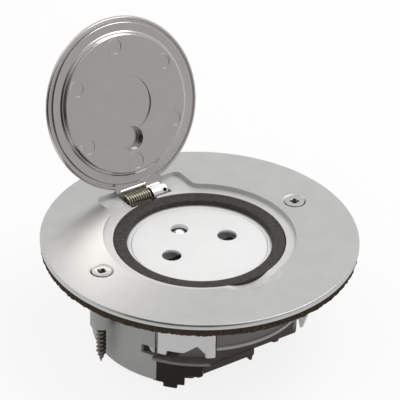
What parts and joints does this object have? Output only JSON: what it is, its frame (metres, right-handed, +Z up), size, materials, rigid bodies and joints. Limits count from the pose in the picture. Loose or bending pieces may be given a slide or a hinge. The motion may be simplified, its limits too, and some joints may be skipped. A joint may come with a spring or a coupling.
{
  "type": "floor socket box",
  "caption": "Round flush floor outlet: die-cast cover plate with a sprung hinged lid over a sinking socket disc, on a plastic box for under-floor wiring.",
  "frame": {"origin": "centre of the round cover plate, in the plane of the floor it lies on (the underside of the foam gasket)", "axes": "+Z up out of the floor, +Y from the plate's centre towards the lid's hinge, +X along the line of the two wood screws, to the right when the hinge is at the back"},
  "size_m": [0.09, 0.094, 0.079],
  "materials": {
    "die_cast": "satin nickel plated die casting",
    "foam": "matt closed-cell foam",
    "seal_rubber": "matt foam rubber",
    "white_plastic": "satin moulding",
    "grey_plastic": "satin moulding",
    "dark_plastic": "satin moulding",
    "steel": "bright zinc plated",
    "nickel_brass": "polished nickel plate",
    "brass": "bright stamped brass"
  },
  "bodies": {
    "base": {"cover_plate": "die_cast", "floor_gasket": "foam", "lid_seal": "seal_rubber", "hinge_pin": "steel", "outlet_well": "white_plastic", "disc_springs": "steel", "earth_pin": "nickel_brass", "earth_strap": "brass", "line_contact": "brass", "neutral_contact": "brass", "terminal_clamps": "brass", "terminal_screws": "steel", "mechanism_housing": "dark_plastic", "rear_cover": "dark_plastic", "well_screws": "steel", "housing_screws": "steel", "mounting_skirt": "grey_plastic", "entry_gate": "white_plastic", "cable_guard": "dark_plastic", "wood_screws": "steel"},
    "lid": {"lid": "die_cast", "hinge_spring": "steel"},
    "disc": {"socket_disc": "white_plastic", "shutter_tray": "white_plastic", "shutter_spring": "steel"},
    "shutter": {"safety_shutter": "dark_plastic"}
  },
  "joints": [
    {"name": "lid_hinge", "type": "hinge", "parent": "base", "child": "lid", "pos_m": [0, 0.02805, 0.0015], "axis": [1, 0, 0], "range_deg": [0, 110.9], "stiffness_Nm_per_rad": 0.0016, "springref_deg": -17.19},
    {"name": "disc_slide", "type": "slide", "parent": "base", "child": "disc", "axis": [0, 0, -1], "range_m": [0, 0.006], "stiffness_N_per_m": 300, "springref_m": -0.006, "deforming": ["disc_springs"]},
    {"name": "shutter_slide", "type": "slide", "parent": "disc", "child": "shutter", "axis": [0, -1, 0], "range_m": [0, 0.0063], "stiffness_N_per_m": 60, "springref_m": -0.003}
  ]
}
